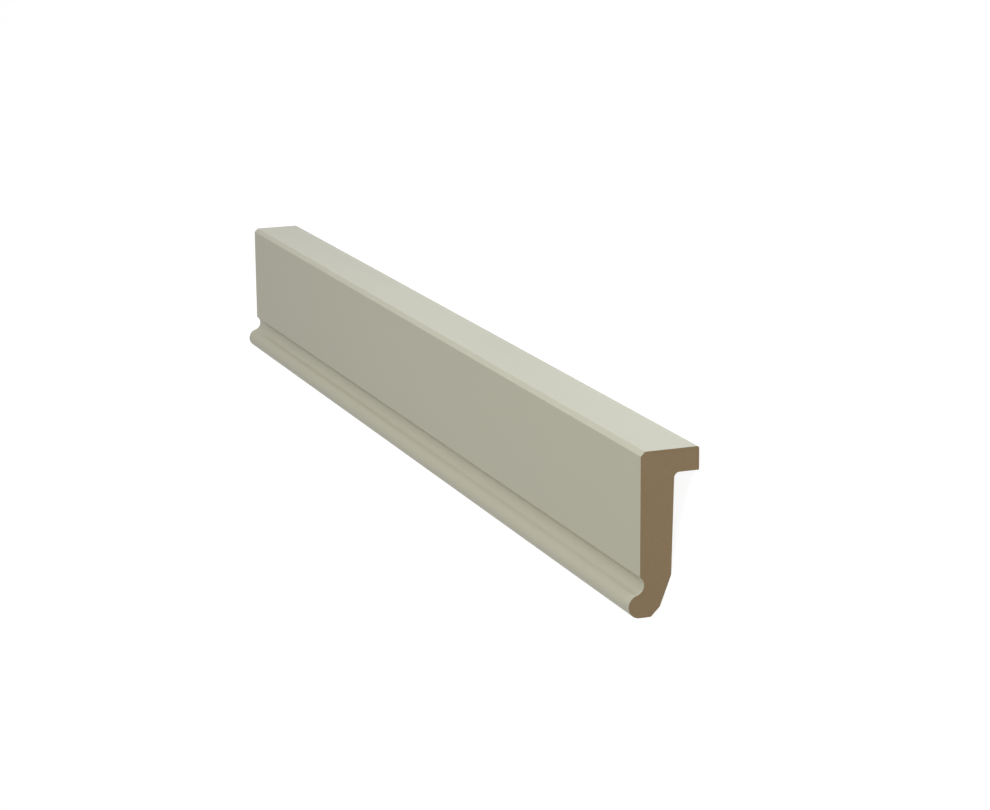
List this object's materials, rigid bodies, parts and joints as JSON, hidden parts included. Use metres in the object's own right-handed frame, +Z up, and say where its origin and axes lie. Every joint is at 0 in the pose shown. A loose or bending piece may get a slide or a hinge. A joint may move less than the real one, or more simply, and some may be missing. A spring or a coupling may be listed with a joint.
{
  "type": "light pelmet",
  "caption": "Straight painted fibreboard moulding of L section, with a beaded lower edge, that fixes under a wall cabinet and hides the lamps there.",
  "frame": {"origin": "middle of the base of the bounding box, with the moulding lying on its back on the floor", "axes": "+X along the length, +Y roughly from the bead towards the flange's cabinet face, +Z up, with the painted front face upwards"},
  "size_m": [0.55, 0.0744, 0.0272],
  "materials": {
    "painted_fibreboard": "satin"
  },
  "bodies": {
    "root": {"light_pelmet": "painted_fibreboard"}
  },
  "joints": []
}
